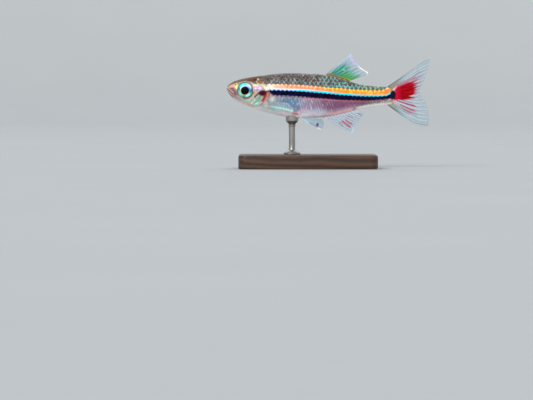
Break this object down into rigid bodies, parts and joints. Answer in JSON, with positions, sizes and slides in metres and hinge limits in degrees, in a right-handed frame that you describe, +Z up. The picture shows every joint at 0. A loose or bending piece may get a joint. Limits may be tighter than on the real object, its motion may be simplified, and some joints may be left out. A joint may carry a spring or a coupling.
{
  "type": "vietnamese cardinal minnow",
  "caption": "Life-size stream minnow with a slim striped body, forked tail and spread fins, held above a flat display base by a short rod.",
  "frame": {"origin": "on the surface it stands on, under the middle of the whole length and breadth", "axes": "+X from the snout to the tail fin, +Y towards the fish's right side, +Z up"},
  "size_m": [0.0294, 0.012, 0.0167],
  "materials": {
    "head_skin": "wet, smooth skin with bone plates under it, brown above and pearly mint below",
    "body_skin": "wet skin under fine scales, brown back, gold, blue and black stripes, mauve lower side",
    "eye": "clear wet cornea over a metallic blue and cream iris and a black pupil",
    "clear_fin": "clear membrane with fine jointed rays, faintly tinted yellow, blue or red",
    "red_fin": "deep red middle with clear lobes and fine branched rays",
    "stand_wood": "dark oiled wood with fine grain",
    "stand_steel": "satin turned steel"
  },
  "bodies": {
    "root": {"head": "head_skin", "gill_cover_left": "head_skin", "gill_cover_right": "head_skin", "trunk": "body_skin", "tail_stalk": "body_skin", "eye_left": "eye", "eye_right": "eye", "dorsal_fin": "clear_fin", "anal_fin": "clear_fin", "tail_fin_upper": "red_fin", "tail_fin_lower": "red_fin", "pectoral_fin_left": "clear_fin", "pectoral_fin_right": "clear_fin", "pelvic_fin_left": "clear_fin", "pelvic_fin_right": "clear_fin", "stand_base": "stand_wood", "stand_rod": "stand_steel"}
  },
  "joints": []
}
